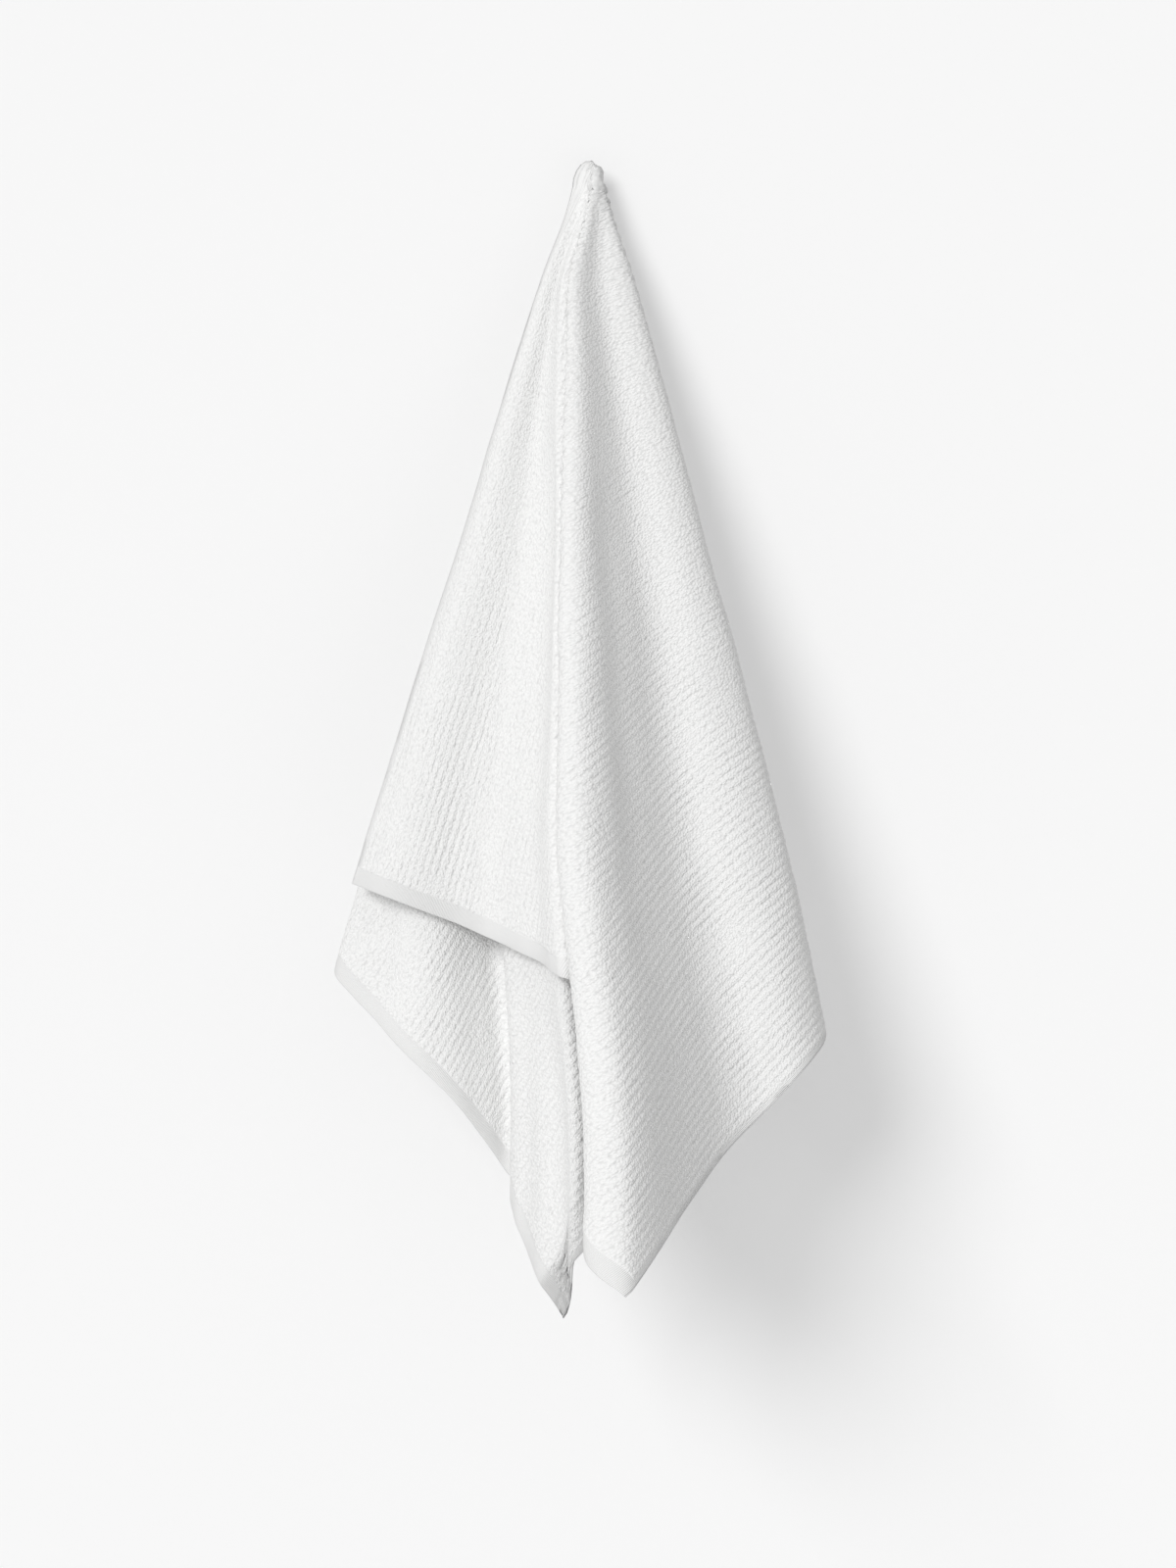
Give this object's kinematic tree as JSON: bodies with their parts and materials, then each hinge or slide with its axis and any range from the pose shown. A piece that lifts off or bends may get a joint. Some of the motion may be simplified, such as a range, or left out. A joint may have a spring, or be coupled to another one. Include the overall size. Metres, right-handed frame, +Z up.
{
  "type": "hanging terry washcloth",
  "caption": "White ribbed cotton terry cloth hung up by one point near the middle of a long side, falling in deep uneven folds with its hemmed corners at the bottom.",
  "frame": {"origin": "the point on the cloth's long side that it is hung up by", "axes": "+Z up, +X to the right seen from the front, and the front of the cloth faces -Y"},
  "size_m": [0.2978, 0.2254, 0.6912],
  "materials": {
    "terry": "soft white looped cotton pile in fine ribs, with smooth flat end hems"
  },
  "bodies": {
    "root": {"cloth": "terry"}
  },
  "joints": []
}
